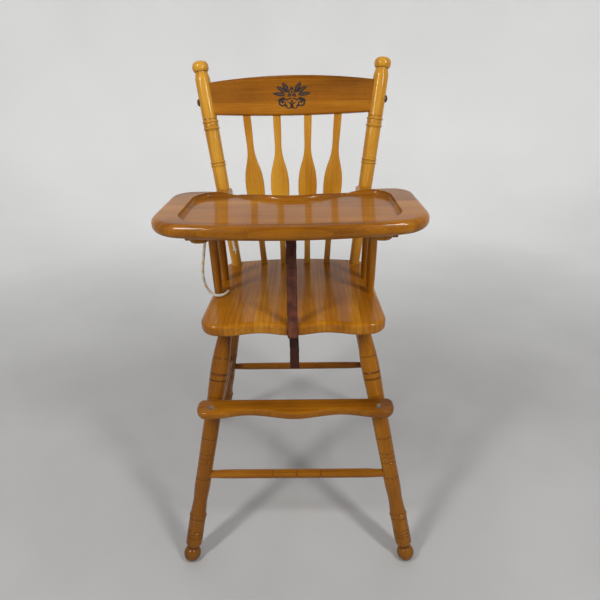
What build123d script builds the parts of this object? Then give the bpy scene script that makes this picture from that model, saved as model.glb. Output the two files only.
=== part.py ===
from build123d import *
import os
from math import cos, hypot, pi, radians, tan

# A wooden high chair: turned legs on ball feet, a board seat, a slatted back between two turned
# posts, two arms on spindles, a waved footrest, a leather crotch strap and a tray that slides
# forward along the arms. Millimetres, +Z up, the sitter faces -Y, and the origin is on the floor
# in the middle of the four feet.

# ---------------------------------------------------------------- driving dimensions

JOINT_GAP = 0.05  # all round a glued tenon in its mortise
HOLE_MOUTH = 4  # how far a leaning tenon's hole is cut on beyond the surface it enters
SLIDE_GAP = 0.5  # between the tray with its runners and the arms

# seat
SEAT_TOP = 561
SEAT_THICK = 24
SEAT_FRONT = -150  # mean line of the waved front edge
SEAT_FRONT_HALF = 180
SEAT_BACK_HALF = 170
SEAT_BACK = 182  # rearmost point, on the centre line
SEAT_BACK_BOW = 21
SEAT_WAVE = 5
SEAT_WAVE_HALF = 65  # centre line to the nearest hollow of the front edge
SEAT_FRONT_CORNER = 38
SEAT_BACK_CORNER = 30
SEAT_ROUND_TOP = 8
SEAT_ROUND_BOTTOM = 5

# legs
FOOT_HALF_X = 243.5
FOOT_HALF_Y = 240
LEG_TOP_HALF_X = 136
LEG_TOP_FRONT_Y = -75.5
LEG_TOP_REAR_Y = 100
LEG_TENON_RADIUS = 12.8
LEG_TENON_DEPTH = 15
FOOT_BALL_RADIUS = 18.5
FOOT_BALL_HEIGHT = 17.3  # along the leg, from the floor to the ball's centre

# stretchers
STRETCHER_RADIUS = 9.8
STRETCHER_END_RADIUS = 8.4
STRETCHER_FRONT_Z = 201
STRETCHER_REAR_Z = 231
STRETCHER_SIDE_Z = 268
STRETCHER_STOP = 5  # from the leg's axis to the end of the tenon
STRETCHER_GROOVE = 52  # from the middle to the outer grooves

# back
POST_BASE_HALF_X = 143.5
POST_BASE_Y = 143
POST_TOP_HALF_X = 199.8
POST_TOP_Y = 228
BACK_RISE = 444  # seat top to the finials' tops
POST_TENON_DEPTH = 15
CREST_DROP = 32  # finials' tops down to the crest rail's top
CREST_HEIGHT = 80
CREST_TOP_BOW = 13
CREST_BOTTOM_BOW = 5
CREST_THICK = 18
CREST_ROUND = 4
CREST_STOP = 2  # from the post's axis to the end of the crest rail, at its lower edge
CREST_SCREW_RISE = 30  # above the crest rail's lower edge
SLAT_THICK = 8
SLAT_TENON_DEPTH = 10
SLAT_STRAIGHT = 8  # plain stretch of each slat next to its tenons
SLAT_BASE_X = (28.8, 76.5)
SLAT_TOP_X = (34.8, 102)
SLAT_BASE_Y = 150.5
SLAT_BASE_WIDTH = 14.5
SLAT_NECK_WIDTH = 15.5
SLAT_TOP_WIDTH = 17
SLAT_PADDLE_WIDTH = 43

# arms and their spindles
ARM_X = 161
ARM_WIDTH = 36
ARM_RISE = 181  # seat top to arm top
ARM_THICK = 24
ARM_NOSE_Y = -140
ARM_NOSE_RADIUS = 16
ARM_ROUND = 6
ARM_TENON_RADIUS = 7
ARM_TENON_DEPTH = 9
SPINDLE_RADIUS = 9.6
SPINDLE_END_RADIUS = 8.4
SPINDLE_TENON_DEPTH = 12
SPINDLE_FRONT_Y = -16
SPINDLE_MID_Y = 57
SPINDLE_MID_BASE_X = 158

# footrest
FOOTREST_TOP = 380
FOOTREST_THICK = 19
FOOTREST_HALF = 200
FOOTREST_BACK = -142
FOOTREST_FRONT = -183  # mean line of the waved front edge
FOOTREST_WAVE = 6
FOOTREST_WAVE_HALF = 92
FOOTREST_BACK_CORNER = 13
FOOTREST_FRONT_CORNER = 24
FOOTREST_ROUND = 7

# tray
TRAY_THICK = 25
TRAY_HALF = 240
TRAY_FRONT = -205
TRAY_FRONT_BOW = 35
TRAY_BACK = 46
TRAY_BELLY_DEPTH = 41
TRAY_BELLY_HALF = 195
TRAY_FRONT_CORNER = 70
TRAY_BACK_CORNER = 42
TRAY_ROUND = 11
RECESS_DEPTH = 9
RECESS_COVE = 7
RECESS_END_RIM = 47
RECESS_FRONT_RIM = 20
RECESS_BACK_RIM = 14
RECESS_FRONT_CORNER = 58
RECESS_BACK_CORNER = 48
RECESS_BELLY_HALF = 138

# tray runners and draw bolts
RUNNER_WIDTH = 16
RUNNER_FRONT = -95
RUNNER_BACK = 38
RUNNER_LIP_REACH = 5.5
RUNNER_LIP_THICK = 8
RUNNER_ROUND = 3
TRAY_TRAVEL = 110
BOLT_Y = 0
BOLT_RADIUS = 3
BOLT_BORE_GAP = 0.06
BOLT_HOLE_GAP = 0.6
BOLT_TRAVEL = 8
BOLT_SET_BACK = 0.8  # from the arm's side to the withdrawn bolt's tip
BOLT_DROP = 12  # from the arm's top down to the bolt's axis
BOLT_STEM = 9  # visible stem between the plate and the knob when withdrawn
BOLT_KNOB_RADIUS = 7
BOLT_KNOB_THICK = 6
BOLT_PLATE_THICK = 2.5
BOLT_PLATE_SIZE = (34, 20)

# crotch strap
STRAP_WIDTH = 19
STRAP_THICK = 3
STRAP_TOP_Y = -98
STRAP_CLEAR = 0.4  # from the strap's standing part to its end under the tray
STRAP_FOLD_RADIUS = 5
STRAP_UNDER_Y = -104  # where the tail leaves the underside of the seat
STRAP_TAIL_END = 430
STRAP_TAB_LENGTH = 26

# screws and caps
SCREW_RADIUS = 2.2
SCREW_HEAD_RADIUS = 4.5
SCREW_HEAD_THICK = 3
SCREW_POINT = 5  # length of its tapered end
CREST_SCREW_LENGTH = 45
ARM_SCREW_LENGTH = 50
CAP_RADIUS = 8.5
CAP_RISE = 6
CAP_SINK = 3
CAP_RIM = 1
CAP_STEM_RADIUS = 6
SCREW_DEPTH = 2  # from a cap's stem down to the head of the screw under it

# cord
CORD_RADIUS = 2.4

# ---------------------------------------------------------------- values worked out from them

SEAT_BOTTOM = SEAT_TOP - SEAT_THICK
BACK_TOP = SEAT_TOP + BACK_RISE
CREST_TOP = BACK_TOP - CREST_DROP
CREST_TOP_END = CREST_TOP - CREST_TOP_BOW
CREST_BOTTOM = CREST_TOP - CREST_HEIGHT
CREST_BOTTOM_END = CREST_BOTTOM + CREST_BOTTOM_BOW
CREST_SCREW_Z = CREST_BOTTOM + CREST_SCREW_RISE
ARM_TOP = SEAT_TOP + ARM_RISE
ARM_BOTTOM = ARM_TOP - ARM_THICK
ARM_OUTER = ARM_X + ARM_WIDTH / 2
TRAY_BOTTOM = ARM_TOP + SLIDE_GAP
TRAY_TOP = TRAY_BOTTOM + TRAY_THICK
RUNNER_INNER = ARM_OUTER + SLIDE_GAP
RUNNER_OUTER = RUNNER_INNER + RUNNER_WIDTH
LIP_TOP = ARM_BOTTOM - SLIDE_GAP
RUNNER_BOTTOM = LIP_TOP - RUNNER_LIP_THICK
BOLT_Z = ARM_TOP - BOLT_DROP
FOOTREST_BOTTOM = FOOTREST_TOP - FOOTREST_THICK

FROM_BASE = (Align.CENTER, Align.CENTER, Align.MIN)
FROM_TOP = (Align.CENTER, Align.CENTER, Align.MAX)

os.makedirs("parts", exist_ok=True)


def save(name, shape):
    export_step(shape, f"parts/{name}.step")


def mirrored(shape):
    return mirror(shape, about=Plane.YZ)


def save_pair(name, right):
    """The right-hand piece and its mirror image."""
    save(f"{name}_right", right)
    save(f"{name}_left", mirrored(right))


def box(x, y, z):
    """A box from its (low, high) extents."""
    size = [high - low for low, high in (x, y, z)]
    middle = [(low + high) / 2 for low, high in (x, y, z)]
    return Pos(*middle) * Box(*size)


def between(start, end, share):
    return Vector(*start) + (Vector(*end) - Vector(*start)) * share


def at_height(start, end, z):
    """The point of the line start-end at height z."""
    return between(start, end, (z - start[2]) / (end[2] - start[2]))


def along(start, end):
    """A plane at start whose normal points to end."""
    return Plane(origin=start, z_dir=Vector(*end) - Vector(*start))


def rod(start, end, radius):
    """A cylinder from start to end."""
    length = (Vector(*end) - Vector(*start)).length
    return along(start, end) * Cylinder(radius, length, align=FROM_BASE)


def turned(start, end, runs, beads=(), grooves=()):
    """A piece turned about the line from start towards end.

    Each run is a smooth stretch of the outline as (distance from start, radius) points, and one
    run joins the next by a straight step. A bead is (distance, radius it stands on, its own
    radius), and a groove is (distance, radius it is cut in, its own radius).
    """
    edges = [Line((0, runs[0][0][0]), (runs[0][0][1], runs[0][0][0]))]
    for run in runs:
        points = [(radius, distance) for distance, radius in run]
        last = edges[-1] @ 1
        if (last - Vector(*points[0])).length > 1e-6:
            edges.append(Line(last, points[0]))
        edges.append(Line(*points) if len(points) == 2 else Spline(*points))
    edges.append(Line(edges[-1] @ 1, (0, runs[-1][-1][0])))
    edges.append(Line(edges[-1] @ 1, (0, runs[0][0][0])))
    outline = make_face(edges)
    for distance, radius, own in beads:
        outline += Pos(radius, distance) * Circle(own)
    for distance, radius, own in grooves:
        outline -= Pos(radius + own * 0.35, distance) * Circle(own)
    solid = revolve(Plane.XZ * outline, Axis.Z, 360)
    return along(start, end) * solid


def board(outline, bottom, top, round_bottom, round_top):
    """A flat board with rounded edges, from its outline in plan."""
    slab = extrude(Pos(0, 0, bottom) * outline, top - bottom)
    faces = slab.faces().sort_by(Axis.Z)
    slab = fillet(faces[-1].edges(), round_top)
    faces = slab.faces().sort_by(Axis.Z)
    return fillet(faces[0].edges(), round_bottom)


def wave(foremost, swing, half_wave, reach):
    """Points of a cosine edge across the chair, from -reach to +reach.

    The edge is foremost at the centre line, and twice swing further back at half_wave from it.
    """
    count = 2 * max(4, round(2 * reach / half_wave))
    places = [reach * (2 * i / count - 1) for i in range(count + 1)]
    return [(x, foremost + swing * (1 - cos(pi * x / half_wave))) for x in places]


def round_corners(face, corners):
    """Rounds the corners of a plan outline: each entry is a test on the vertex and a radius."""
    for test, radius in corners:
        face = fillet([v for v in face.vertices() if test(v)], radius)
    return face


def wood_screw(head, tip):
    """A countersunk screw whose head's outer face is centred on head."""
    length = (Vector(*tip) - Vector(*head)).length
    runs = [
        [(0, SCREW_HEAD_RADIUS), (SCREW_HEAD_THICK, SCREW_RADIUS)],
        [(SCREW_HEAD_THICK, SCREW_RADIUS), (length - SCREW_POINT, SCREW_RADIUS)],
        [(length - SCREW_POINT, SCREW_RADIUS), (length, 0.3)],
    ]
    shape = turned(head, tip, runs)
    slot = along(head, tip) * Box(2 * SCREW_HEAD_RADIUS, 1.2, 2.4)
    return shape - slot


def screw_hole(head, tip, mouth=0.0):
    """The hole that a wood screw sits in, open outwards over mouth beyond the head."""
    length = (Vector(*tip) - Vector(*head)).length
    runs = [
        [(-mouth, SCREW_HEAD_RADIUS + JOINT_GAP), (0, SCREW_HEAD_RADIUS + JOINT_GAP)],
        [(0, SCREW_HEAD_RADIUS + JOINT_GAP), (SCREW_HEAD_THICK, SCREW_RADIUS + JOINT_GAP)],
        [(SCREW_HEAD_THICK, SCREW_RADIUS + JOINT_GAP), (length + 1, SCREW_RADIUS + JOINT_GAP)],
    ]
    if not mouth:
        runs = runs[1:]
    return turned(head, tip, runs)


# ---------------------------------------------------------------- legs and stretchers

LEG_AXES = {
    "front_right": ((FOOT_HALF_X, -FOOT_HALF_Y, 0), (LEG_TOP_HALF_X, LEG_TOP_FRONT_Y, SEAT_BOTTOM)),
    "rear_right": ((FOOT_HALF_X, FOOT_HALF_Y, 0), (LEG_TOP_HALF_X, LEG_TOP_REAR_Y, SEAT_BOTTOM)),
}

# heights along the leg of the turned details, from the floor
FOOT_NECK = 37
LOWER_GROOVES = (64, 72, 80)
LOWER_RING = 115
WAIST = 152
MIDDLE_GROOVES = (209, 245, 256, 267, 303)
UPPER_GROOVES = (398, 438, 452, 487)
LEG_RADIUS_LOW = 17.8
LEG_RADIUS_WAIST = 15.2
LEG_RADIUS_MIDDLE = 16.6
LEG_RADIUS_TOP = 18


def leg_radius(distance):
    """The leg's radius at the middle and upper grooves, between the waist and the top."""
    share = (distance - MIDDLE_GROOVES[0]) / (UPPER_GROOVES[-1] - MIDDLE_GROOVES[0])
    return LEG_RADIUS_MIDDLE + (LEG_RADIUS_TOP - LEG_RADIUS_MIDDLE) * share


def leg_solid(foot, top):
    length = (Vector(*top) - Vector(*foot)).length
    end = length + LEG_TENON_DEPTH
    low = LEG_RADIUS_LOW
    runs = [
        [(3, 8.5), (FOOT_NECK, 9.5)],
        [(FOOT_NECK + 1, 12.5), (FOOT_NECK + 4, 15.8), (FOOT_NECK + 10, low)],
        [(FOOT_NECK + 10, low), (LOWER_RING - 6, low - 0.2)],
        [
            (LOWER_RING - 6, low - 0.2),
            (LOWER_RING + 8, low - 0.9),
            (WAIST, LEG_RADIUS_WAIST),
            (WAIST + 28, LEG_RADIUS_WAIST + 1.5),
            (MIDDLE_GROOVES[0], leg_radius(MIDDLE_GROOVES[0])),
            (MIDDLE_GROOVES[-1], leg_radius(MIDDLE_GROOVES[-1])),
            (UPPER_GROOVES[0], leg_radius(UPPER_GROOVES[0])),
            (UPPER_GROOVES[-1], leg_radius(UPPER_GROOVES[-1])),
            (length - 42, LEG_TENON_RADIUS + 1.2),
            (length - 14, LEG_TENON_RADIUS),
        ],
        [(length - 14, LEG_TENON_RADIUS), (end, LEG_TENON_RADIUS)],
    ]
    beads = [(LOWER_RING, low - 1.4, 2.4)]
    grooves = [(s, low, 2.1) for s in (*LOWER_GROOVES, LOWER_RING - 6, LOWER_RING + 6)]
    grooves += [(s, leg_radius(s), 2.1) for s in MIDDLE_GROOVES + UPPER_GROOVES]
    leg = turned(foot, top, runs, beads, grooves)
    leg += Pos(*between(foot, top, FOOT_BALL_HEIGHT / length)) * Sphere(FOOT_BALL_RADIUS)
    return leg - box((-400, 400), (-400, 400), (-60, 0))


def stretcher(start, end, grooves=()):
    """A stretcher between two leg axes, with its tenons, and the holes that they sit in."""
    first, last = Vector(*start), Vector(*end)
    direction = (last - first).normalized()
    first, last = first + direction * STRETCHER_STOP, last - direction * STRETCHER_STOP
    length = (last - first).length
    thin, thick = STRETCHER_END_RADIUS, STRETCHER_RADIUS
    shoulder = LEG_RADIUS_TOP + 3
    swell = shoulder + 55
    runs = [
        [(0, thin), (shoulder, thin)],
        [
            (shoulder, thin),
            (shoulder + 20, thin + 0.9),
            (swell, thick - 0.3),
            (length / 2, thick),
            (length - swell, thick - 0.3),
            (length - shoulder - 20, thin + 0.9),
            (length - shoulder, thin),
        ],
        [(length - shoulder, thin), (length, thin)],
    ]
    cuts = [(length / 2 + offset, thick - 0.1, 1.5) for offset in grooves]
    piece = turned(tuple(first), tuple(last), runs, grooves=cuts)
    holes = rod(tuple(first), tuple(first + direction * shoulder), thin + JOINT_GAP)
    holes += rod(tuple(last), tuple(last - direction * shoulder), thin + JOINT_GAP)
    return piece, holes


def flip(point):
    return (-point[0], point[1], point[2])


def leg_point(which, z):
    return tuple(at_height(*LEG_AXES[which], z))


front_right = leg_point("front_right", STRETCHER_FRONT_Z)
rear_right = leg_point("rear_right", STRETCHER_REAR_Z)
side_front, side_rear = (leg_point(which, STRETCHER_SIDE_Z) for which in ("front_right", "rear_right"))
outer_grooves = (-STRETCHER_GROOVE, STRETCHER_GROOVE)
stretcher_front, front_holes = stretcher(flip(front_right), front_right, (*outer_grooves, 0))
stretcher_rear, rear_holes = stretcher(flip(rear_right), rear_right, outer_grooves)
stretcher_side, side_holes = stretcher(side_front, side_rear, outer_grooves)
save("stretcher_front", stretcher_front)
save("stretcher_rear", stretcher_rear)
save_pair("stretcher_side", stretcher_side)

leg_front = leg_solid(*LEG_AXES["front_right"]) - front_holes - side_holes
leg_rear = leg_solid(*LEG_AXES["rear_right"]) - rear_holes - side_holes

# ---------------------------------------------------------------- footrest


def footrest_outline():
    front = wave(FOOTREST_FRONT - FOOTREST_WAVE, FOOTREST_WAVE, FOOTREST_WAVE_HALF, FOOTREST_HALF)
    back = [(FOOTREST_HALF, FOOTREST_BACK), (-FOOTREST_HALF, FOOTREST_BACK)]
    face = make_face([Spline(*front), Polyline(front[-1], *back, front[0])])
    middle = (FOOTREST_BACK + FOOTREST_FRONT) / 2
    return round_corners(
        face,
        [
            (lambda v: v.Y > middle, FOOTREST_BACK_CORNER),
            (lambda v: v.Y < middle and abs(v.X) > FOOTREST_HALF - 1, FOOTREST_FRONT_CORNER),
        ],
    )


leg_at_board = leg_point("front_right", (FOOTREST_TOP + FOOTREST_BOTTOM) / 2)
leg_foot, leg_top = LEG_AXES["front_right"]
leg_clear = rod(leg_foot, leg_top, LEG_RADIUS_TOP + JOINT_GAP)
footrest = board(footrest_outline(), FOOTREST_BOTTOM, FOOTREST_TOP, FOOTREST_ROUND, FOOTREST_ROUND)
footrest = footrest - leg_clear - mirrored(leg_clear)

# a screw at each end goes down and back through the board into the leg
FOOTREST_SCREW_Y = (FOOTREST_BACK + FOOTREST_FRONT) / 2 - 5
FOOTREST_SCREW_SINK = 2
screw_head = (leg_at_board[0], FOOTREST_SCREW_Y, FOOTREST_TOP - FOOTREST_SCREW_SINK)
screw_aim = leg_point("front_right", FOOTREST_BOTTOM - 12)
screw_tip = tuple(between(screw_head, screw_aim, 1.1))
footrest_screw = wood_screw(screw_head, screw_tip)
footrest_hole = screw_hole(screw_head, screw_tip, mouth=8)
footrest = footrest - footrest_hole - mirrored(footrest_hole)
leg_front = leg_front - footrest_hole
save("footrest", footrest)
save("footrest_screws", Compound([footrest_screw.solid(), mirrored(footrest_screw).solid()]))
save_pair("leg_front", leg_front)
save_pair("leg_rear", leg_rear)

# ---------------------------------------------------------------- back posts

post_base = (POST_BASE_HALF_X, POST_BASE_Y, SEAT_TOP)
post_top = (POST_TOP_HALF_X, POST_TOP_Y, BACK_TOP)
post_length = (Vector(*post_top) - Vector(*post_base)).length
post_slope = post_length / (BACK_TOP - SEAT_TOP)  # length along the post per millimetre of height
POST_RADIUS_BASE = 12
POST_RADIUS_MIDDLE = 15.6
POST_RADIUS_TOP = 16.6
FINIAL_RADIUS = 17.8
FINIAL_HEIGHT = 24
FINIAL_NECK_RADIUS = 13.4
POST_GROOVES = (117, 141)  # drop from the post's top
POST_RINGS = ((122, 3.1), (136, 3.1), (129, 2.0), (207, 2.6), (214, 2.6))  # (drop, bead radius)


def post_distance(z):
    return (z - SEAT_TOP) * post_slope


def post_solid():
    neck = post_length - FINIAL_HEIGHT
    lower, upper = post_distance(BACK_TOP - 225), post_distance(BACK_TOP - 105)
    runs = [
        [(-POST_TENON_DEPTH, POST_RADIUS_BASE), (HOLE_MOUTH, POST_RADIUS_BASE)],
        [
            (HOLE_MOUTH, POST_RADIUS_BASE),
            (60, POST_RADIUS_BASE + 0.9),
            (160, POST_RADIUS_MIDDLE - 0.4),
            (lower, POST_RADIUS_MIDDLE + 0.3),
        ],
        [(lower, POST_RADIUS_MIDDLE + 0.3), (upper, POST_RADIUS_TOP)],
        [(upper, POST_RADIUS_TOP), (neck - 12, POST_RADIUS_TOP - 0.4)],
        [(neck - 12, POST_RADIUS_TOP - 0.4), (neck - 5, POST_RADIUS_TOP - 2), (neck, FINIAL_NECK_RADIUS)],
        [(neck, FINIAL_NECK_RADIUS), (neck + 2, FINIAL_NECK_RADIUS)],
        [
            (neck + 2, FINIAL_RADIUS - 3),
            (neck + 6, FINIAL_RADIUS - 0.6),
            (neck + 12, FINIAL_RADIUS),
            (neck + 19, FINIAL_RADIUS - 2.4),
            (neck + 22.6, FINIAL_RADIUS - 8),
            (post_length, 0.4),
        ],
    ]
    beads = [(post_distance(BACK_TOP - drop), POST_RADIUS_TOP - 1.6, own) for drop, own in POST_RINGS]
    grooves = [(post_distance(BACK_TOP - drop), POST_RADIUS_TOP, 1.3) for drop in POST_GROOVES]
    return turned(post_base, post_top, runs, beads, grooves)


post = post_solid()
post_seat_hole = rod(
    tuple(between(post_base, post_top, HOLE_MOUTH / post_length)),
    tuple(between(post_base, post_top, -(POST_TENON_DEPTH + JOINT_GAP) / post_length)),
    POST_RADIUS_BASE + JOINT_GAP,
)

# ---------------------------------------------------------------- crest rail and slats

BACK_LEAN = (POST_TOP_Y - POST_BASE_Y) / (BACK_TOP - SEAT_TOP)


def crest_y(z):
    """Where the plane through the posts' axes is at height z."""
    return POST_BASE_Y + (z - SEAT_TOP) * BACK_LEAN


crest_middle = (0, crest_y(CREST_BOTTOM), CREST_BOTTOM)
crest_plane = Plane(origin=crest_middle, x_dir=(1, 0, 0), z_dir=(0, -1, BACK_LEAN))
crest_stretch = hypot(1, BACK_LEAN)  # length in the crest's plane per millimetre of height


def crest_local(x, z):
    return (x, (z - CREST_BOTTOM) * crest_stretch)


def crest_solid():
    """The arched board, whose plain ends are let into the posts."""
    reach = at_height(post_base, post_top, CREST_TOP_END).X
    low = [(-reach, CREST_BOTTOM_END), (0, CREST_BOTTOM), (reach, CREST_BOTTOM_END)]
    high = [(reach, CREST_TOP_END), (0, CREST_TOP), (-reach, CREST_TOP_END)]
    bottom = ThreePointArc(*[crest_local(x, z) for x, z in low])
    top = ThreePointArc(*[crest_local(x, z) for x, z in high])
    face = make_face([bottom, Line(bottom @ 1, top @ 0), top, Line(top @ 1, bottom @ 0)])
    slab = crest_plane * extrude(face, CREST_THICK / 2, both=True)
    slab = fillet(slab.edges().filter_by(lambda e: e.length > reach), CREST_ROUND)
    end = at_height(post_base, post_top, CREST_BOTTOM_END).X - CREST_STOP
    return slab & box((-end, end), (0, 2 * POST_TOP_Y), (SEAT_TOP, BACK_TOP))


def slat(base_x, top_x):
    """One arrow slat with its tenons, and the mortises that they sit in."""
    start = Vector(base_x, SLAT_BASE_Y, SEAT_TOP)
    end = Vector(top_x, crest_y(CREST_BOTTOM), CREST_BOTTOM)
    length = (end - start).length
    axis = (end - start).normalized()
    normal = Vector(1, 0, 0).cross(axis).normalized()
    plane = Plane(origin=start, x_dir=axis.cross(normal), z_dir=normal)
    low_end, high_end = SLAT_STRAIGHT, length - SLAT_STRAIGHT
    half = [
        (low_end, SLAT_BASE_WIDTH / 2),
        (length * 0.2, SLAT_BASE_WIDTH / 2 + 0.4),
        (length * 0.36, SLAT_PADDLE_WIDTH * 0.36),
        (length * 0.49, SLAT_PADDLE_WIDTH * 0.485),
        (length * 0.56, SLAT_PADDLE_WIDTH / 2),
        (length * 0.65, SLAT_PADDLE_WIDTH * 0.42),
        (length * 0.76, SLAT_NECK_WIDTH / 2 + 1),
        (length * 0.85, SLAT_NECK_WIDTH / 2),
        (high_end, SLAT_TOP_WIDTH / 2),
    ]
    side = Spline(*[(w, s) for s, w in half], tangents=[(0, 1), (0, 1)])
    bottom = Polyline((0, -SLAT_TENON_DEPTH), (SLAT_BASE_WIDTH / 2, -SLAT_TENON_DEPTH), side @ 0)
    tip = length + SLAT_TENON_DEPTH
    top = Polyline(side @ 1, (SLAT_TOP_WIDTH / 2, tip), (0, tip))
    face = make_face([bottom, side, top, Line(top @ 1, bottom @ 0)])
    face += mirror(face, about=Plane.YZ)
    slab = extrude(face, SLAT_THICK / 2, both=True)
    slab = fillet(slab.edges().filter_by(lambda e: e.length > length * 0.7), 2.2)
    deep = SLAT_TENON_DEPTH + 2 * JOINT_GAP
    low = Pos(0, (SLAT_STRAIGHT - deep) / 2, 0) * Box(
        SLAT_BASE_WIDTH + 2 * JOINT_GAP, deep + SLAT_STRAIGHT, SLAT_THICK + 2 * JOINT_GAP
    )
    high = Pos(0, length + (deep - SLAT_STRAIGHT) / 2, 0) * Box(
        SLAT_TOP_WIDTH + 2 * JOINT_GAP, deep + SLAT_STRAIGHT, SLAT_THICK + 2 * JOINT_GAP
    )
    return plane * slab, plane * low, plane * high


crest_blank = crest_solid()
crest = crest_blank
slat_mortises = []
for number, side, index in ((1, -1, 1), (2, -1, 0), (3, 1, 0), (4, 1, 1)):
    piece, low_hole, high_hole = slat(side * SLAT_BASE_X[index], side * SLAT_TOP_X[index])
    save(f"slat_{number}", piece)
    crest = crest - high_hole
    slat_mortises.append(low_hole)

# screws through the posts into the crest rail's ends, under domed caps
post_at_screw = at_height(post_base, post_top, CREST_SCREW_Z)


def cap(outer, inner):
    """A domed cap whose stem goes from the surface point outer towards inner."""
    runs = [
        [(-CAP_RISE, 0.4), (-CAP_RISE + 0.6, 4), (-CAP_RISE * 0.45, CAP_RADIUS - 1), (0, CAP_RADIUS)],
        [(0, CAP_RADIUS), (CAP_RIM, CAP_RADIUS)],
        [(CAP_RIM, CAP_STEM_RADIUS), (CAP_SINK, CAP_STEM_RADIUS)],
    ]
    return turned(outer, inner, runs)


def cap_seat(outer, inner):
    """The counterbore for a cap, with a flat for its rim."""
    stem = Cylinder(CAP_STEM_RADIUS + JOINT_GAP, CAP_SINK + SCREW_DEPTH, align=FROM_BASE)
    rim = Pos(0, 0, CAP_RIM + JOINT_GAP) * Cylinder(CAP_RADIUS + JOINT_GAP, 2 * CAP_RISE, align=FROM_TOP)
    return along(outer, inner) * (stem + rim)


crest_cap_at = (post_at_screw.X + POST_RADIUS_TOP - 1, post_at_screw.Y, CREST_SCREW_Z)
crest_cap_in = (0, post_at_screw.Y, CREST_SCREW_Z)
crest_screw_head = (crest_cap_at[0] - CAP_SINK - SCREW_DEPTH, post_at_screw.Y, CREST_SCREW_Z)
crest_screw_tip = (crest_screw_head[0] - CREST_SCREW_LENGTH, post_at_screw.Y, CREST_SCREW_Z)
crest_cap = cap(crest_cap_at, crest_cap_in)
crest_screw = wood_screw(crest_screw_head, crest_screw_tip)
crest_bore = screw_hole(crest_screw_head, crest_screw_tip)
post = post - crest_blank - cap_seat(crest_cap_at, crest_cap_in) - crest_bore
crest = crest - crest_bore - mirrored(crest_bore)
save("crest_rail", crest)
save("crest_screws", Compound([crest_screw.solid(), mirrored(crest_screw).solid()]))
save("crest_caps", Compound([crest_cap.solid(), mirrored(crest_cap).solid()]))

# ---------------------------------------------------------------- arms and spindles

arm_z = (ARM_TOP + ARM_BOTTOM) / 2
post_at_arm = at_height(post_base, post_top, arm_z)


def arm_outline():
    low, high = ARM_X - ARM_WIDTH / 2, ARM_X + ARM_WIDTH / 2
    back = post_at_arm.Y
    corners = [(low, ARM_NOSE_Y), (high, ARM_NOSE_Y), (high, back), (low, back)]
    face = make_face(Polyline(*corners, close=True))
    return round_corners(face, [(lambda v: v.Y < ARM_NOSE_Y + 1, min(ARM_NOSE_RADIUS, ARM_WIDTH / 2 - 1))])


def arm_solid():
    slab = extrude(Pos(0, 0, ARM_BOTTOM) * arm_outline(), ARM_THICK)
    faces = slab.faces().sort_by(Axis.Z)
    rim = [e for e in faces[0].edges() + faces[-1].edges() if e.center().Y < post_at_arm.Y - 1]
    slab = fillet(rim, ARM_ROUND)
    post_clear = rod(post_base, post_top, POST_RADIUS_MIDDLE + 0.4)
    behind = box((0, 2 * ARM_X), (post_at_arm.Y - 4, 2 * post_at_arm.Y), (0, BACK_TOP))
    return slab - post_clear - behind


arm = arm_solid()
tenon_y = post_at_arm.Y - POST_RADIUS_MIDDLE + ARM_TENON_DEPTH


def arm_rod(start_y, end_y, radius):
    return rod((post_at_arm.X, start_y, arm_z), (post_at_arm.X, end_y, arm_z), radius)


arm_tenon = arm_rod(tenon_y - ARM_TENON_DEPTH - 6, tenon_y, ARM_TENON_RADIUS)
arm_mortise = arm_rod(tenon_y - 3 * POST_RADIUS_MIDDLE, tenon_y + JOINT_GAP, ARM_TENON_RADIUS + JOINT_GAP)
arm = arm + arm_tenon

arm_cap_at = (post_at_arm.X, post_at_arm.Y + POST_RADIUS_MIDDLE - 1, arm_z)
arm_cap_in = (post_at_arm.X, 0, arm_z)
arm_screw_head = (post_at_arm.X, arm_cap_at[1] - CAP_SINK - SCREW_DEPTH, arm_z)
arm_screw_tip = (post_at_arm.X, arm_screw_head[1] - ARM_SCREW_LENGTH, arm_z)
arm_cap = cap(arm_cap_at, arm_cap_in)
arm_screw = wood_screw(arm_screw_head, arm_screw_tip)
arm_bore = screw_hole(arm_screw_head, arm_screw_tip)
post = post - arm_mortise - cap_seat(arm_cap_at, arm_cap_in) - arm_bore
arm = arm - arm_bore


def spindle(base, top):
    """An arm spindle with its tenons, and the mortises that they sit in."""
    first, last = Vector(*base), Vector(*top)
    direction = (last - first).normalized()
    length = (last - first).length
    thin, thick, depth = SPINDLE_END_RADIUS, SPINDLE_RADIUS, SPINDLE_TENON_DEPTH
    runs = [
        [(-depth, thin), (HOLE_MOUTH, thin)],
        [
            (HOLE_MOUTH, thin),
            (18, thin + 0.5),
            (length * 0.5, thick),
            (length - 18, thin + 0.8),
            (length - HOLE_MOUTH, thin),
        ],
        [(length - HOLE_MOUTH, thin), (length + depth, thin)],
    ]
    mouth = direction * HOLE_MOUTH
    holes = rod(tuple(first + mouth), tuple(first - direction * (depth + JOINT_GAP)), thin + JOINT_GAP)
    holes += rod(tuple(last - mouth), tuple(last + direction * (depth + JOINT_GAP)), thin + JOINT_GAP)
    return turned(tuple(first), tuple(last), runs), holes


spindle_front, spindle_front_holes = spindle(
    (ARM_X, SPINDLE_FRONT_Y, SEAT_TOP), (ARM_X, SPINDLE_FRONT_Y, ARM_BOTTOM)
)
spindle_mid, spindle_mid_holes = spindle(
    (SPINDLE_MID_BASE_X, SPINDLE_MID_Y, SEAT_TOP), (ARM_X, SPINDLE_MID_Y, ARM_BOTTOM)
)
save_pair("arm_spindle_front", spindle_front)
save_pair("arm_spindle_mid", spindle_mid)
arm = arm - spindle_front_holes - spindle_mid_holes

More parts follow.
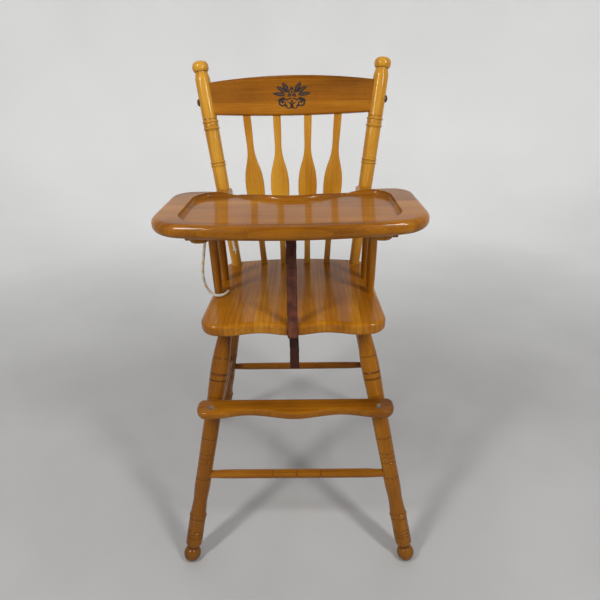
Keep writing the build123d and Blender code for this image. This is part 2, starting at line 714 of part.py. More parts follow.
# the draw bolts' holes in the arm, for the tray pushed home and pulled forward
for bolt_y in (BOLT_Y, BOLT_Y - TRAY_TRAVEL):
    socket_mouth = (ARM_OUTER + 1, bolt_y, BOLT_Z)
    socket_end = (ARM_OUTER - BOLT_TRAVEL - 1, bolt_y, BOLT_Z)
    arm = arm - rod(socket_mouth, socket_end, BOLT_RADIUS + BOLT_HOLE_GAP)
save_pair("arm", arm)
save_pair("back_post", post)
save("arm_screws", Compound([arm_screw.solid(), mirrored(arm_screw).solid()]))
save("arm_caps", Compound([arm_cap.solid(), mirrored(arm_cap).solid()]))

# ---------------------------------------------------------------- seat


def seat_outline():
    front = wave(SEAT_FRONT - SEAT_WAVE, SEAT_WAVE, SEAT_WAVE_HALF, SEAT_FRONT_HALF)
    corner_y = SEAT_BACK - SEAT_BACK_BOW
    back = ThreePointArc((SEAT_BACK_HALF, corner_y), (0, SEAT_BACK), (-SEAT_BACK_HALF, corner_y))
    face = make_face([Spline(*front), Line(front[-1], back @ 0), back, Line(back @ 1, front[0])])
    return round_corners(
        face,
        [
            (lambda v: v.Y > 0, SEAT_BACK_CORNER),
            (lambda v: v.Y < 0 and abs(v.X) > SEAT_FRONT_HALF - 1, SEAT_FRONT_CORNER),
        ],
    )


def leg_seat_hole(which):
    foot, top = LEG_AXES[which]
    tip = between(foot, top, 1 + (LEG_TENON_DEPTH + JOINT_GAP) / (Vector(*top) - Vector(*foot)).length)
    return rod(tuple(between(foot, top, 0.97)), tuple(tip), LEG_TENON_RADIUS + JOINT_GAP)


seat = board(seat_outline(), SEAT_BOTTOM, SEAT_TOP, SEAT_ROUND_BOTTOM, SEAT_ROUND_TOP)
leg_seat_holes = [leg_seat_hole(which) for which in LEG_AXES]
for hole in (*leg_seat_holes, post_seat_hole, spindle_front_holes, spindle_mid_holes):
    seat = seat - hole - mirrored(hole)
for hole in slat_mortises:
    seat = seat - hole

# ---------------------------------------------------------------- crotch strap

STRAP_HALF = STRAP_WIDTH / 2
strap_front = SEAT_FRONT - SEAT_WAVE  # the seat's foremost line, which the strap goes round


def strap_face(points, radii):
    """The strap's section along a route in the YZ plane."""
    path = FilletPolyline(*points, radius=radii) if radii else Polyline(*points)
    return trace(path, STRAP_THICK)


def strap_solid(points, radii=None):
    return extrude(Plane.YZ * strap_face(points, radii), STRAP_HALF, both=True)


half = STRAP_THICK / 2
shoulder = (strap_front - half - 0.6, SEAT_TOP - SEAT_ROUND_TOP)
tab_z = TRAY_BOTTOM - half - 0.1
strap_up = [(shoulder[0] + 4.2, SEAT_TOP + 3), (STRAP_TOP_Y, tab_z - half - STRAP_CLEAR - 1.5)]
strap_fold = [
    strap_up[0],
    (shoulder[0] - 0.2, SEAT_TOP - SEAT_ROUND_TOP + 1),
    (shoulder[0] - 0.2, SEAT_BOTTOM - half - 0.3),
    (STRAP_UNDER_Y, SEAT_BOTTOM - half - 0.3),
    (STRAP_UNDER_Y, STRAP_TAIL_END),
]
crotch_strap = strap_solid(strap_up)
crotch_tail = strap_solid(strap_fold, [6, STRAP_FOLD_RADIUS, STRAP_FOLD_RADIUS]) - crotch_strap
tab_front = STRAP_TOP_Y - 4
tab_reach = (tab_front, tab_front + STRAP_TAB_LENGTH)
strap_tab = box((-STRAP_HALF, STRAP_HALF), tab_reach, (tab_z - half, tab_z + half))
STRAP_SCREW_Y = (strap_front + STRAP_UNDER_Y) / 2
seat_screws = []
for x in (-5, 5):
    head = (x, STRAP_SCREW_Y, SEAT_BOTTOM - STRAP_THICK - 0.3)
    tip = (x, STRAP_SCREW_Y, SEAT_BOTTOM + 14)
    seat_screws.append(wood_screw(head, tip).solid())
    bore = screw_hole(head, tip, mouth=4)
    seat = seat - bore
    crotch_tail = crotch_tail - bore
tab_screw_head = (0, STRAP_TOP_Y + STRAP_TAB_LENGTH - 13, tab_z - half)
tab_screw_tip = (tab_screw_head[0], tab_screw_head[1], TRAY_BOTTOM + 11)
tab_screw = wood_screw(tab_screw_head, tab_screw_tip)
tab_bore = screw_hole(tab_screw_head, tab_screw_tip, mouth=3)
strap_tab = strap_tab - tab_bore
save("seat", seat)
save("crotch_strap", crotch_strap)
save("crotch_strap_tail", crotch_tail)
save("crotch_strap_tab", strap_tab)
save("strap_screws", Compound(seat_screws))
save("tray_strap_screw", tab_screw)

# ---------------------------------------------------------------- tray


def tray_edge(front, back, half_width, bow, belly_half):
    """The tray's plan outline or its recess: bowed front, straight ends, belly curve behind."""
    front_arc = ThreePointArc((-half_width, front + bow), (0, front), (half_width, front + bow))
    swing = TRAY_BELLY_DEPTH / 2
    belly = wave(back - TRAY_BELLY_DEPTH, swing, belly_half, belly_half)
    right = Line((half_width, front + bow), (half_width, back))
    left = Line((-half_width, back), (-half_width, front + bow))
    parts = [front_arc, right, Spline(*reversed(belly), tangents=[(-1, 0), (-1, 0)]), left]
    if half_width > belly_half:
        parts.insert(2, Line((half_width, back), (belly_half, back)))
        parts.insert(4, Line((-belly_half, back), (-half_width, back)))
    return make_face(parts)


def tray_outline():
    face = tray_edge(TRAY_FRONT, TRAY_BACK, TRAY_HALF, TRAY_FRONT_BOW, TRAY_BELLY_HALF)
    return round_corners(
        face,
        [
            (lambda v: v.Y < 0 and abs(v.X) > TRAY_HALF - 1, TRAY_FRONT_CORNER),
            (lambda v: v.Y > 0 and abs(v.X) > TRAY_HALF - 1, TRAY_BACK_CORNER),
        ],
    )


def recess_outline():
    half_width = TRAY_HALF - RECESS_END_RIM
    bow = TRAY_FRONT_BOW * (half_width / TRAY_HALF) ** 2
    face = tray_edge(
        TRAY_FRONT + RECESS_FRONT_RIM, TRAY_BACK - RECESS_BACK_RIM, half_width, bow, RECESS_BELLY_HALF
    )
    return round_corners(
        face,
        [
            (lambda v: v.Y < 0 and abs(v.X) > half_width - 1, RECESS_FRONT_CORNER),
            (lambda v: v.Y > 0 and abs(v.X) > half_width - 1, RECESS_BACK_CORNER),
        ],
    )


tray = board(tray_outline(), TRAY_BOTTOM, TRAY_TOP, TRAY_ROUND, TRAY_ROUND)
recess = extrude(Pos(0, 0, TRAY_TOP - RECESS_DEPTH) * recess_outline(), RECESS_DEPTH + 5)
recess = fillet(recess.faces().sort_by(Axis.Z)[0].edges(), RECESS_COVE)
tray = tray - recess - tab_bore

# ---------------------------------------------------------------- runners and draw bolts


def runner_solid():
    body = box((RUNNER_INNER, RUNNER_OUTER), (RUNNER_FRONT, RUNNER_BACK), (RUNNER_BOTTOM, TRAY_BOTTOM))
    body = fillet(
        [e for e in body.edges() if e.center().Z < RUNNER_BOTTOM + 1 and e.center().X > RUNNER_OUTER - 1],
        RUNNER_ROUND,
    )
    lip_inner = RUNNER_INNER - RUNNER_LIP_REACH
    lip = box((lip_inner, RUNNER_INNER), (RUNNER_FRONT, RUNNER_BACK), (RUNNER_BOTTOM, LIP_TOP))
    return body + lip


runner = runner_solid()
RUNNER_SCREW_END = 18  # from the runner's ends to its screws
runner_screws = []
for y in (RUNNER_FRONT + RUNNER_SCREW_END, RUNNER_BACK - RUNNER_SCREW_END):
    head = ((RUNNER_INNER + RUNNER_OUTER) / 2, y, RUNNER_BOTTOM + 0.5)
    tip = (head[0], y, TRAY_BOTTOM + 12)
    screw = wood_screw(head, tip)
    bore = screw_hole(head, tip, mouth=3)
    runner_screws += [screw.solid(), mirrored(screw).solid()]
    runner = runner - bore
    tray = tray - bore - mirrored(bore)

bolt_tip = ARM_OUTER + BOLT_SET_BACK
bore_start = (RUNNER_INNER - 1, BOLT_Y, BOLT_Z)
bore_end = (RUNNER_OUTER + BOLT_PLATE_THICK + 1, BOLT_Y, BOLT_Z)
bolt_bore = rod(bore_start, bore_end, BOLT_RADIUS + BOLT_BORE_GAP)
runner = runner - bolt_bore
plate = box(
    (RUNNER_OUTER, RUNNER_OUTER + BOLT_PLATE_THICK),
    (BOLT_Y - BOLT_PLATE_SIZE[0] / 2, BOLT_Y + BOLT_PLATE_SIZE[0] / 2),
    (BOLT_Z - BOLT_PLATE_SIZE[1] / 2, BOLT_Z + BOLT_PLATE_SIZE[1] / 2),
)
plate = fillet(plate.edges().filter_by(Axis.X), 4)
plate = plate - bolt_bore
knob_start = RUNNER_OUTER + BOLT_PLATE_THICK + BOLT_STEM
bolt_length = knob_start + BOLT_KNOB_THICK - bolt_tip
bolt = turned(
    (bolt_tip, BOLT_Y, BOLT_Z),
    (knob_start + BOLT_KNOB_THICK, BOLT_Y, BOLT_Z),
    [
        [(0, BOLT_RADIUS - 0.8), (0.8, BOLT_RADIUS)],
        [(0.8, BOLT_RADIUS), (bolt_length - BOLT_KNOB_THICK, BOLT_RADIUS)],
        [
            (bolt_length - BOLT_KNOB_THICK, BOLT_KNOB_RADIUS - 1.5),
            (bolt_length - BOLT_KNOB_THICK * 0.55, BOLT_KNOB_RADIUS),
            (bolt_length - 1.2, BOLT_KNOB_RADIUS - 1.8),
            (bolt_length, 2),
        ],
    ],
)
save("tray_board", tray)
save_pair("tray_runner", runner)
save("runner_screws", Compound(runner_screws))
save_pair("bolt_plate", plate)
save_pair("tray_bolt", bolt)

# ---------------------------------------------------------------- tie cord

# The cord lies on the seat inside the left front spindle's foot, goes round the front of that
# foot, rises outside the spindle to a hitch under the arm, runs back past the middle spindle to
# a second hitch on the back post, and hangs from there to its knot.
CORD_ROUTE = [
    (-141, -10, 564.2),
    (-143.5, -21, 564.4),
    (-151, -30.5, 564.6),
    (-162, -34.5, 565.4),
    (-172, -34.5, 570.5),
    (-179, -36, 580.5),
    (-183, -39, 594),
    (-184.5, -41, 611),
    (-183.5, -39.5, 631),
    (-180.5, -34, 651),
    (-177.5, -27, 672),
    (-175, -18.5, 688.5),
    (-174.4, -6, 697),
    (-174.4, 10, 699.5),
    (-174.8, 30, 699),
    (-175, 52, 698),
    (-174.6, 74, 698.5),
    (-173, 94, 699.5),
    (-169.5, 113, 700),
    (-165, 129, 699),
    (-160.5, 141, 694.5),
    (-156.5, 147.3, 685.5),
    (-153.3, 146, 673.5),
    (-151, 142.7, 659.5),
    (-149, 138.5, 643),
    (-147, 134.5, 625),
    (-144, 131.5, 609),
]


def corner_radii(points):
    """For each inner point, 0.45 of the shorter run over the tangent of half the turn."""
    radii = []
    for before, here, after in zip(points, points[1:], points[2:]):
        first, second = Vector(*here) - Vector(*before), Vector(*after) - Vector(*here)
        half_turn = radians(first.get_angle(second)) / 2
        radii.append(0.45 * min(first.length, second.length) / tan(half_turn))
    return radii


cord_radii = corner_radii(CORD_ROUTE)
cord_path = FilletPolyline(*CORD_ROUTE, radius=cord_radii)
cord_start = Plane(origin=cord_path @ 0, z_dir=cord_path % 0)
cord = sweep(cord_start * Circle(CORD_RADIUS), path=cord_path)
print("cord length", round(cord_path.length, 1), "radii", [round(r, 1) for r in cord_radii])
print("cord volume", round(cord.volume), "section x length", round(pi * CORD_RADIUS**2 * cord_path.length))
save("tie_cord", cord)

KNOT_RADIUS = 4.6
knot_at = Vector(*CORD_ROUTE[-1]) + (cord_path % 1) * (KNOT_RADIUS * 0.9)
knot = Plane(origin=knot_at, z_dir=cord_path % 1) * Sphere(KNOT_RADIUS)
knot = knot - cord
save("tie_cord_knot", knot)


def hitch(axis_low, axis_high, z, inside_radius):
    """Two turns of cord round a spindle or post, as one collar, at height z."""
    height = 4 * CORD_RADIUS
    collar = Cylinder(inside_radius + 2 * CORD_RADIUS, height) - Cylinder(inside_radius, height + 1)
    rims = collar.edges().filter_by(GeomType.CIRCLE).sort_by(lambda e: e.radius)[-2:]
    collar = fillet(rims, CORD_RADIUS - 0.3)
    middle = at_height(axis_low, axis_high, z)
    return Plane(origin=middle, z_dir=Vector(*axis_high) - Vector(*axis_low)) * collar - cord


HITCH_FRONT_Z = 696
HITCH_BACK_Z = 688
HITCH_GAP = 0.2
front_hitch = hitch(
    (-ARM_X, SPINDLE_FRONT_Y, SEAT_TOP), (-ARM_X, SPINDLE_FRONT_Y, ARM_BOTTOM), HITCH_FRONT_Z,
    SPINDLE_RADIUS + HITCH_GAP,
)
back_hitch = hitch(flip(post_base), flip(post_top), HITCH_BACK_Z, POST_RADIUS_MIDDLE + 0.3 + HITCH_GAP)
hitches = [max(shape.solids(), key=lambda solid: solid.volume) for shape in (front_hitch, back_hitch)]
save("tie_cord_hitches", Compound(hitches))

print("nodes", len(os.listdir("parts")))
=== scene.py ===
"""Looks of the wooden high chair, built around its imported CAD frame. Metres, row frame."""

from math import cos, floor, pi, radians, sin, tau

import bpy
import numpy as np
from mathutils import Matrix, Vector


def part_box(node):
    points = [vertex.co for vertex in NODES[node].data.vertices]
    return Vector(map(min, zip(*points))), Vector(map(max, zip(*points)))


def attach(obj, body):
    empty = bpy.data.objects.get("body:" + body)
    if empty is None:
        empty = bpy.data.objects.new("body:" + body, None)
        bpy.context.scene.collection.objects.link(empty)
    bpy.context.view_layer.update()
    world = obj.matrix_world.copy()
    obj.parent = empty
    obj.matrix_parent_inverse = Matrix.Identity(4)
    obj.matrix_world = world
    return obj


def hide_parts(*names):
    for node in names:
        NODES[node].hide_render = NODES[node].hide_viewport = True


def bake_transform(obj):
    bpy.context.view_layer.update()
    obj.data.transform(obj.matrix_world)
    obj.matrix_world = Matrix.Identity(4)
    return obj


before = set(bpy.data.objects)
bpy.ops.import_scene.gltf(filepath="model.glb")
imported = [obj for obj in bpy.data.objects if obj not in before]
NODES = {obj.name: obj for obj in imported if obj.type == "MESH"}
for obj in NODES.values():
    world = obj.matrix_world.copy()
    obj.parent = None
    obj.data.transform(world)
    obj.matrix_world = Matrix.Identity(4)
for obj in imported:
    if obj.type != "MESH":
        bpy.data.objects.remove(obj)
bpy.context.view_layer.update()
SIDES = ("left", "right")
MM = 0.001
X_AXIS, Y_AXIS, Z_AXIS = Vector((1, 0, 0)), Vector((0, 1, 0)), Vector((0, 0, 1))

# ---------------------------------------------------------------- camera, lights and floor

CAMERA_AT = (0.0287, -0.8782, 0.9881)
CAMERA_TILT = 62.7
CAMERA_TURN = 1.1
CAMERA_ROLL = -1.3
CAMERA_LENS = 27.02
CAMERA_SENSOR = 36.0

LIGHT_AIM = Vector((0, 0, 0.9))
LIGHT_AZIMUTH = 47
LIGHT_DISTANCE = 1.55
LIGHT_ELEVATION = 31
LIGHT_SIZE = (0.20, 0.75)
LIGHT_POWER = 16
LIGHT_COLOUR = (1.0, 0.985, 0.96)
ROOM_FRONT = 0.10  # brightness of the room in front of the chair
ROOM_BACK = 0.64  # brightness of the wall behind it

FLOOR_RADIUS = 2.2
FLOOR_RISE = 0.55  # radius of the curve at the floor's rim
FLOOR_WALL = 1.5
# painted light: the floor is coloured paler at its rim than under the chair
FLOOR_NEAR = 0.46  # how pale the floor is under the chair
FLOOR_FAR = 0.72  # and at its rim
FLOOR_GLOW = 0.30  # light that the backdrop behind the chair gives off


def link(obj):
    bpy.context.scene.collection.objects.link(obj)
    return obj


def make_camera():
    data = bpy.data.cameras.new("camera")
    data.lens = CAMERA_LENS
    data.sensor_width = CAMERA_SENSOR
    camera = link(bpy.data.objects.new("camera", data))
    turn = Matrix.Rotation(radians(CAMERA_TURN), 4, "Z")
    tilt = Matrix.Rotation(radians(CAMERA_TILT), 4, "X")
    roll = Matrix.Rotation(radians(CAMERA_ROLL), 4, "Z")
    camera.matrix_world = Matrix.Translation(CAMERA_AT) @ turn @ tilt @ roll
    bpy.context.scene.camera = camera


def make_light(name, azimuth):
    """A tall warm lamp in front of the chair, that many degrees round from its front."""
    data = bpy.data.lights.new(name, "AREA")
    data.shape = "RECTANGLE"
    data.size, data.size_y = LIGHT_SIZE
    data.energy = LIGHT_POWER
    data.color = LIGHT_COLOUR
    lamp = link(bpy.data.objects.new(name, data))
    a, e = radians(azimuth), radians(LIGHT_ELEVATION)
    back = Vector((sin(a) * cos(e), -cos(a) * cos(e), sin(e)))
    lamp.location = LIGHT_AIM + back * LIGHT_DISTANCE
    lamp.rotation_mode = "QUATERNION"
    lamp.rotation_quaternion = (-back).to_track_quat("-Z", "Y")


def make_lights():
    for name, side in (("lamp_left", -1), ("lamp_right", 1)):
        make_light(name, side * LIGHT_AZIMUTH)
    world = bpy.data.worlds.new("studio")
    world.use_nodes = True
    tree = world.node_tree
    direction = node(tree, "ShaderNodeTexCoord").outputs["Generated"]
    back = node(tree, "ShaderNodeSeparateXYZ", {0: direction}).outputs[1]
    glow = spread(tree, back, -0.35, 0.55, ROOM_FRONT, ROOM_BACK)
    tree.links.new(glow, tree.nodes["Background"].inputs["Color"])
    bpy.context.scene.world = world


# ---------------------------------------------------------------- shader helpers


def node(tree, kind, inputs=None, **settings):
    """Adds a shader node: its settings, and its inputs as values or as sockets to link from."""
    made = tree.nodes.new(kind)
    for key, value in settings.items():
        setattr(made, key, value)
    for key, value in (inputs or {}).items():
        if isinstance(value, bpy.types.NodeSocket):
            tree.links.new(value, made.inputs[key])
        else:
            made.inputs[key].default_value = value
    return made


def math(tree, operation, first, second=0.0):
    return node(tree, "ShaderNodeMath", {0: first, 1: second}, operation=operation).outputs[0]


def noise(tree, place, scale, detail=2.0, roughness=0.5):
    inputs = {"Vector": place, "Scale": scale, "Detail": detail, "Roughness": roughness}
    return node(tree, "ShaderNodeTexNoise", inputs).outputs[0]


def stretched(tree, place, scale):
    """Texture coordinates scaled by three factors."""
    return node(tree, "ShaderNodeMapping", {"Vector": place, "Scale": scale}).outputs[0]


def spread(tree, value, low, high, to_low=0.0, to_high=1.0):
    """A value from low to high brought to the range to_low to to_high, and held there outside it."""
    inputs = {"Value": value, "From Min": low, "From Max": high, "To Min": to_low, "To Max": to_high}
    return node(tree, "ShaderNodeMapRange", inputs).outputs[0]


def ramp(tree, value, stops):
    made = node(tree, "ShaderNodeValToRGB", {"Fac": value})
    elements = made.color_ramp.elements
    while len(elements) < len(stops):
        elements.new(0.5)
    for element, (position, colour) in zip(elements, stops):
        element.position = position
        element.color = (*colour, 1)
    return made.outputs[0]


def mixed(tree, share, first, second, blend="MIX"):
    """Two colours mixed by a share."""
    made = node(tree, "ShaderNodeMix", data_type="RGBA", blend_type=blend)
    for socket, value in ((made.inputs[0], share), (made.inputs[6], first), (made.inputs[7], second)):
        if isinstance(value, bpy.types.NodeSocket):
            tree.links.new(value, socket)
        else:
            socket.default_value = value if socket.type == "VALUE" else (*value, 1)
    return made.outputs[2]


def bump(tree, height, strength, distance, normal=None):
    inputs = {"Height": height, "Strength": strength, "Distance": distance}
    if normal:
        inputs["Normal"] = normal
    return node(tree, "ShaderNodeBump", inputs).outputs[0]


def new_material(name):
    """A material, its node tree and its Principled shader."""
    material = bpy.data.materials.new(name)
    material.use_nodes = True
    return material, material.node_tree, material.node_tree.nodes["Principled BSDF"]


def feed(tree, shader, **inputs):
    """Links or sets sockets of the Principled shader, with _ for a space in their names."""
    for key, value in inputs.items():
        socket = shader.inputs[key.replace("_", " ")]
        if isinstance(value, bpy.types.NodeSocket):
            tree.links.new(value, socket)
        else:
            socket.default_value = value


def place_of(tree):
    return node(tree, "ShaderNodeTexCoord").outputs["Object"]


def paint(obj, material):
    obj.data.materials.clear()
    obj.data.materials.append(material)


# ---------------------------------------------------------------- wood

WOOD_DEEP = (0.115, 0.033, 0.001)
WOOD_MIDDLE = (0.34, 0.120, 0.0035)
WOOD_LIGHT = (0.66, 0.34, 0.035)
WOOD_CREVICE_STAIN_AND_SHADE = (0.045, 0.013, 0.002)
WOOD_SCUFF = (0.62, 0.36, 0.12)
WOOD_DIRT = (0.085, 0.048, 0.022)
RING_PITCH = 0.011
WAVE_PERIOD = tau / 20  # of a wave texture at scale 1
CREVICE_REACH = 0.008
DIRT_HEIGHT = 0.05
BOARD_JUMP = (7.0, 0.0, 3.0)  # how far the figure moves from one board to the next
BOARD_DRIFT = 0.035  # how much lighter or darker a board may be


def wood(name, grain, seed, tone=0.0, board=None):
    """Honey-stained, varnished wood whose grain runs along the vector grain.

    tone makes the piece lighter or darker, and board is the width of the boards that it is
    glued up from, across the grain.
    """
    material, tree, shader = new_material(name)
    place = place_of(tree)
    turn = grain.rotation_difference(X_AXIS).to_euler()
    start = (seed * 1.37, seed * 0.71, seed * 2.13)
    lined_up = node(tree, "ShaderNodeMapping", {"Vector": place, "Rotation": turn}).outputs[0]
    base_tone = 0.5 + tone
    if board:
        across = node(tree, "ShaderNodeSeparateXYZ", {0: lined_up}).outputs[1]
        index = math(tree, "FLOOR", math(tree, "ADD", math(tree, "DIVIDE", across, board), 0.5))
        own = math(tree, "ADD", index, seed)
        chance = node(tree, "ShaderNodeTexWhiteNoise", {"W": own}, noise_dimensions="1D")
        jump = {0: chance.outputs["Color"], 1: BOARD_JUMP}
        jump = node(tree, "ShaderNodeVectorMath", jump, operation="MULTIPLY").outputs[0]
        lined_up = node(tree, "ShaderNodeVectorMath", {0: lined_up, 1: jump}, operation="ADD").outputs[0]
        low, high = base_tone - BOARD_DRIFT, base_tone + BOARD_DRIFT
        base_tone = spread(tree, chance.outputs["Value"], 0, 1, low, high)
    fibre_place = node(tree, "ShaderNodeVectorMath", {0: lined_up, 1: start}, operation="ADD").outputs[0]

    # tone bands, growth rings, fibres and pores
    bands = noise(tree, stretched(tree, fibre_place, (1.6, 17, 17)), 1.0, 3.0, 0.55)
    blotch = noise(tree, fibre_place, 9.0, 2.0)
    rings = node(
        tree,
        "ShaderNodeTexWave",
        {
            "Vector": stretched(tree, fibre_place, (0.16, 1, 0.55)),
            "Scale": WAVE_PERIOD / RING_PITCH,
            "Distortion": 5.5,
            "Detail": 2.0,
            "Detail Scale": 0.22,
        },
        bands_direction="Y",
        wave_profile="SAW",
    ).outputs["Fac"]
    fibres = noise(tree, stretched(tree, fibre_place, (11, 520, 520)), 1.0, 3.0, 0.6)
    pores = noise(tree, stretched(tree, fibre_place, (85, 1500, 1500)), 1.0, 1.0)
    pores = spread(tree, pores, 0.62, 0.72)

    total = base_tone
    for part, weight in ((bands, 0.75), (blotch, 0.35), (rings, 0.09), (fibres, 0.36)):
        share = math(tree, "MULTIPLY", math(tree, "SUBTRACT", part, 0.5), weight)
        total = math(tree, "ADD", total, share)
    total = math(tree, "SUBTRACT", total, math(tree, "MULTIPLY", pores, 0.16))
    colour = ramp(tree, total, [(0.12, WOOD_DEEP), (0.5, WOOD_MIDDLE), (0.92, WOOD_LIGHT)])

    # stain gathered in grooves and corners with painted shade there, painted shade towards the floor, dull
    # dirty feet, and light scuffs in the varnish
    reach = {"Distance": CREVICE_REACH}
    # painted shade on top of real stain: the piece's own grooves and corners are darkened where ambient
    # occlusion finds them
    open_air = node(tree, "ShaderNodeAmbientOcclusion", reach, samples=6, only_local=True)
    crevice_stain_and_shade = spread(tree, open_air.outputs["AO"], 0.45, 0.97, 0.9, 0.0)
    colour = mixed(tree, crevice_stain_and_shade, colour, WOOD_CREVICE_STAIN_AND_SHADE)
    height = node(tree, "ShaderNodeSeparateXYZ", {0: place}).outputs[2]
    ragged = math(tree, "MULTIPLY", noise(tree, place, 60, 3.0), 0.03)
    dirt = spread(tree, math(tree, "ADD", height, ragged), 0.012, DIRT_HEIGHT, 0.6, 0.0)
    # painted shade: the wood darkens gradually towards the floor, standing in for the light falling off
    # lower down
    low = spread(tree, height, 0.05, 0.5, 0.28, 0.0)
    colour = mixed(tree, low, colour, WOOD_DEEP)
    colour = mixed(tree, dirt, colour, WOOD_DIRT)
    scuff = noise(tree, stretched(tree, place, (150, 150, 150)), 1.0, 4.0, 0.7)
    where = noise(tree, place, 14, 2.0)
    scuff = math(tree, "MULTIPLY", spread(tree, scuff, 0.66, 0.74), spread(tree, where, 0.52, 0.66))
    colour = mixed(tree, math(tree, "MULTIPLY", scuff, 0.35), colour, WOOD_SCUFF)

    rough = spread(tree, fibres, 0.2, 0.8, 0.30, 0.42)
    rough = math(tree, "ADD", rough, math(tree, "MULTIPLY", scuff, 0.25))
    rough = math(tree, "ADD", rough, math(tree, "MULTIPLY", dirt, 0.35))
    texture = math(tree, "SUBTRACT", fibres, math(tree, "MULTIPLY", pores, 0.6))
    grain_bump = bump(tree, texture, 0.25, 0.00012)
    ripple = noise(tree, place, 95, 1.0)
    surface = bump(tree, ripple, 0.3, 0.00016, grain_bump)
    feed(tree, shader, Base_Color=colour, Roughness=rough, Normal=surface)
    feed(tree, shader, Coat_Weight=0.55, Coat_Roughness=0.07, Coat_IOR=1.38, Specular_IOR_Level=0.08)
    coat_surface = bump(tree, ripple, 0.16, 0.00012)
    feed(tree, shader, Coat_Normal=coat_surface)
    return material


def long_axis(obj):
    """The direction in which a node's mesh is longest."""
    points = np.array([v.co for v in obj.data.vertices])
    spreading, directions = np.linalg.eigh(np.cov((points - points.mean(0)).T))
    return Vector(directions[:, int(np.argmax(spreading))])


def make_wood():
    """Gives every wooden node its own material, with the grain along the piece."""
    turned = [f"leg_{end}_{side}" for end in ("front", "rear") for side in SIDES]
    turned += ["stretcher_front", "stretcher_rear"] + [f"stretcher_side_{side}" for side in SIDES]
    turned += [f"back_post_{side}" for side in SIDES]
    turned += [f"arm_spindle_{end}_{side}" for end in ("front", "mid") for side in SIDES]
    turned += [f"arm_{side}" for side in SIDES] + [f"tray_runner_{side}" for side in SIDES]
    slats = [f"slat_{number}" for number in range(1, 5)]
    tones = {"crest_rail": -0.12, "seat": -0.06, "footrest": -0.24, "tray_board": -0.04}
    grains = {name: long_axis(NODES[name]) for name in turned + slats}
    grains.update({"crest_rail": X_AXIS, "footrest": X_AXIS, "tray_board": X_AXIS, "seat": Y_AXIS})
    boards = {"seat": 0.086, "tray_board": 0.118}
    for name in slats:
        tones[name] = 0.20
    for side in SIDES:
        tones[f"back_post_{side}"] = 0.24
        for end in ("front", "rear"):
            tones[f"leg_{end}_{side}"] = -0.14
        tones[f"stretcher_side_{side}"] = -0.14
    for end in ("front", "rear"):
        tones[f"stretcher_{end}"] = -0.14
    for seed, (name, grain) in enumerate(sorted(grains.items())):
        drift = 0.05 * sin(seed * 2.4)
        material = wood(f"wood_{name}", grain, seed + 1, tones.get(name, 0.0) + drift, boards.get(name))
        paint(NODES[name], material)


# ---------------------------------------------------------------- metal and plastic fittings


def metal(name, colour, tarnish, roughness, scratch_scale):
    """Worn metal: scratched, with tarnish that gathers in spots."""
    material, tree, shader = new_material(name)
    place = place_of(tree)
    spots = spread(tree, noise(tree, place, 420, 4.0, 0.65), 0.48, 0.66)
    along = stretched(tree, place, (scratch_scale, scratch_scale * 0.12, scratch_scale))
    scratches = noise(tree, along, 1.0, 2.0)
    rough = spread(tree, scratches, 0.3, 0.7, roughness, roughness + 0.16)
    rough = math(tree, "ADD", rough, math(tree, "MULTIPLY", spots, 0.2))
    worn = mixed(tree, math(tree, "MULTIPLY", spots, 0.6), colour, tarnish)
    feed(tree, shader, Base_Color=worn, Metallic=1.0)
    feed(tree, shader, Roughness=rough, Normal=bump(tree, scratches, 0.15, 0.00005))
    return material


def cap_plastic():
    """Dark brown moulded plastic with a soft gloss, a little dust and fine rub marks."""
    material, tree, shader = new_material("cap_plastic")
    place = place_of(tree)
    dust = spread(tree, noise(tree, place, 300, 5.0, 0.7), 0.5, 0.75)
    mottle = noise(tree, place, 90, 3.0)
    colour = mixed(tree, mottle, (0.030, 0.011, 0.006), (0.060, 0.022, 0.011))
    colour = mixed(tree, math(tree, "MULTIPLY", dust, 0.25), colour, (0.16, 0.12, 0.09))
    rough = math(tree, "ADD", 0.24, math(tree, "MULTIPLY", dust, 0.3))
    feed(tree, shader, Base_Color=colour, Roughness=rough, Normal=bump(tree, mottle, 0.12, 0.0001))
    return material


def make_fittings():
    steel = metal("screw_zinc", (0.30, 0.26, 0.21), (0.06, 0.04, 0.028), 0.36, 2600)
    brass = metal("bolt_brass", (0.66, 0.46, 0.16), (0.20, 0.12, 0.05), 0.24, 1800)
    plastic = cap_plastic()
    for place in ("crest", "arm", "footrest", "strap", "runner"):
        paint(NODES[f"{place}_screws"], steel)
    paint(NODES["tray_strap_screw"], steel)
    for side in SIDES:
        paint(NODES[f"bolt_plate_{side}"], brass)
        paint(NODES[f"tray_bolt_{side}"], brass)
    for name in ("crest_caps", "arm_caps"):
        paint(NODES[name], plastic)


# ---------------------------------------------------------------- mesh helpers


def mesh_object(name, points, faces, smooth=True):
    mesh = bpy.data.meshes.new(name)
    mesh.from_pydata([tuple(p) for p in points], [], faces)
    mesh.validate()
    mesh.update()
    for polygon in mesh.polygons:
        polygon.use_smooth = smooth
    return link(bpy.data.objects.new(name, mesh))


def resampled(points, step):
    """Evenly spaced points along a polyline."""
    line = np.array([tuple(p) for p in points])
    reach = np.concatenate([[0], np.cumsum(np.linalg.norm(np.diff(line, axis=0), axis=1))])
    count = max(2, round(reach[-1] / step) + 1)
    places = np.linspace(0, reach[-1], count)
    return [Vector(p) for p in np.column_stack([np.interp(places, reach, line[:, k]) for k in range(3)])]


def frames(points):
    """A normal and a binormal at each point of a line, turned as little as possible on the way."""
    tangents = [(b - a).normalized() for a, b in zip(points, points[1:])]
    tangents.append(tangents[-1])
    helper = X_AXIS if abs(tangents[0].x) < 0.8 else Z_AXIS
    normal = (helper - tangents[0] * helper.dot(tangents[0])).normalized()
    found = []
    for tangent in tangents:
        normal = (normal - tangent * normal.dot(tangent)).normalized()
        found.append((normal, tangent.cross(normal)))
    return found


